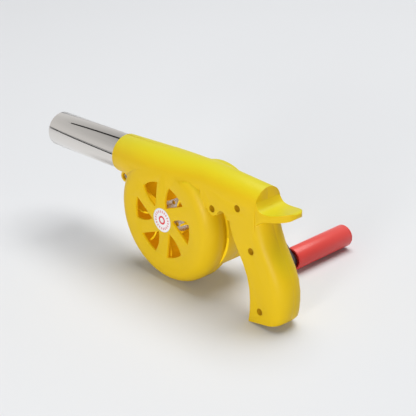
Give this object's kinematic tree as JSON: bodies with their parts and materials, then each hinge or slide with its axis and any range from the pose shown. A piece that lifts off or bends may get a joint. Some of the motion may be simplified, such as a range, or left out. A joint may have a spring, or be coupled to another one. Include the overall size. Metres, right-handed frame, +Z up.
{
  "type": "hand cranked air blower",
  "caption": "Pistol-shaped hand blower for a charcoal fire: steel nozzle tube, round vented fan drum, gear case on the far side and a bent crank with a turning red handle.",
  "frame": {"origin": "on the ground under the middle of the whole object's box, with the crank at rest", "axes": "-X along the nozzle tube, the way the air leaves; +Y towards the crank; +Z up"},
  "size_m": [0.3, 0.165, 0.12],
  "materials": {
    "yellow_plastic": "satin moulded",
    "red_plastic": "gloss",
    "white_label": "smooth",
    "polished_steel": "polished",
    "plain_steel": "drawn",
    "zinc_steel": "zinc plated",
    "bush_brass": "turned",
    "white_nylon": "moulded",
    "black_plastic": "moulded"
  },
  "bodies": {
    "body": {"left_shell": "yellow_plastic", "right_shell": "yellow_plastic", "hub_label": "white_label", "nozzle_tube": "polished_steel", "shell_screws": "zinc_steel", "fan_bush": "bush_brass", "idler_axle": "plain_steel", "gear_plate": "zinc_steel", "gear_cover": "yellow_plastic", "cover_screws": "zinc_steel", "crank_bush": "bush_brass"},
    "fan": {"fan_wheel": "yellow_plastic", "hub_flange": "plain_steel", "fan_nut": "zinc_steel", "fan_shaft": "plain_steel", "fan_pinion": "bush_brass"},
    "idler": {"idler_gear": "white_nylon"},
    "crank": {"crank_gear": "white_nylon", "crank_shaft": "plain_steel", "gear_pin": "plain_steel", "crank_washer": "white_nylon", "crank_arm": "plain_steel", "lock_washer": "zinc_steel", "crank_nut": "zinc_steel", "handle_pin": "plain_steel", "handle_washer": "black_plastic", "handle_clip": "zinc_steel"},
    "handle": {"handle_sleeve": "red_plastic", "handle_cap": "red_plastic"}
  },
  "joints": [
    {"name": "crank_turn", "type": "hinge", "parent": "body", "child": "crank", "pos_m": [0.029, 0, 0.0585], "axis": [0, 1, 0], "continuous": true},
    {"name": "handle_spin", "type": "hinge", "parent": "crank", "child": "handle", "pos_m": [0.07567, 0, 0.01183], "axis": [0, 1, 0], "continuous": true},
    {"name": "idler_spin", "type": "hinge", "parent": "body", "child": "idler", "pos_m": [0.01144, 0, 0.07464], "axis": [0, 1, 0], "continuous": true},
    {"name": "fan_spin", "type": "hinge", "parent": "body", "child": "fan", "pos_m": [0.011, 0, 0.0585], "axis": [0, 1, 0], "continuous": true}
  ],
  "couplings": [
    {"joint": "idler_spin", "follows": "crank_turn", "ratio": -4.6667},
    {"joint": "fan_spin", "follows": "crank_turn", "ratio": 13.222}
  ]
}
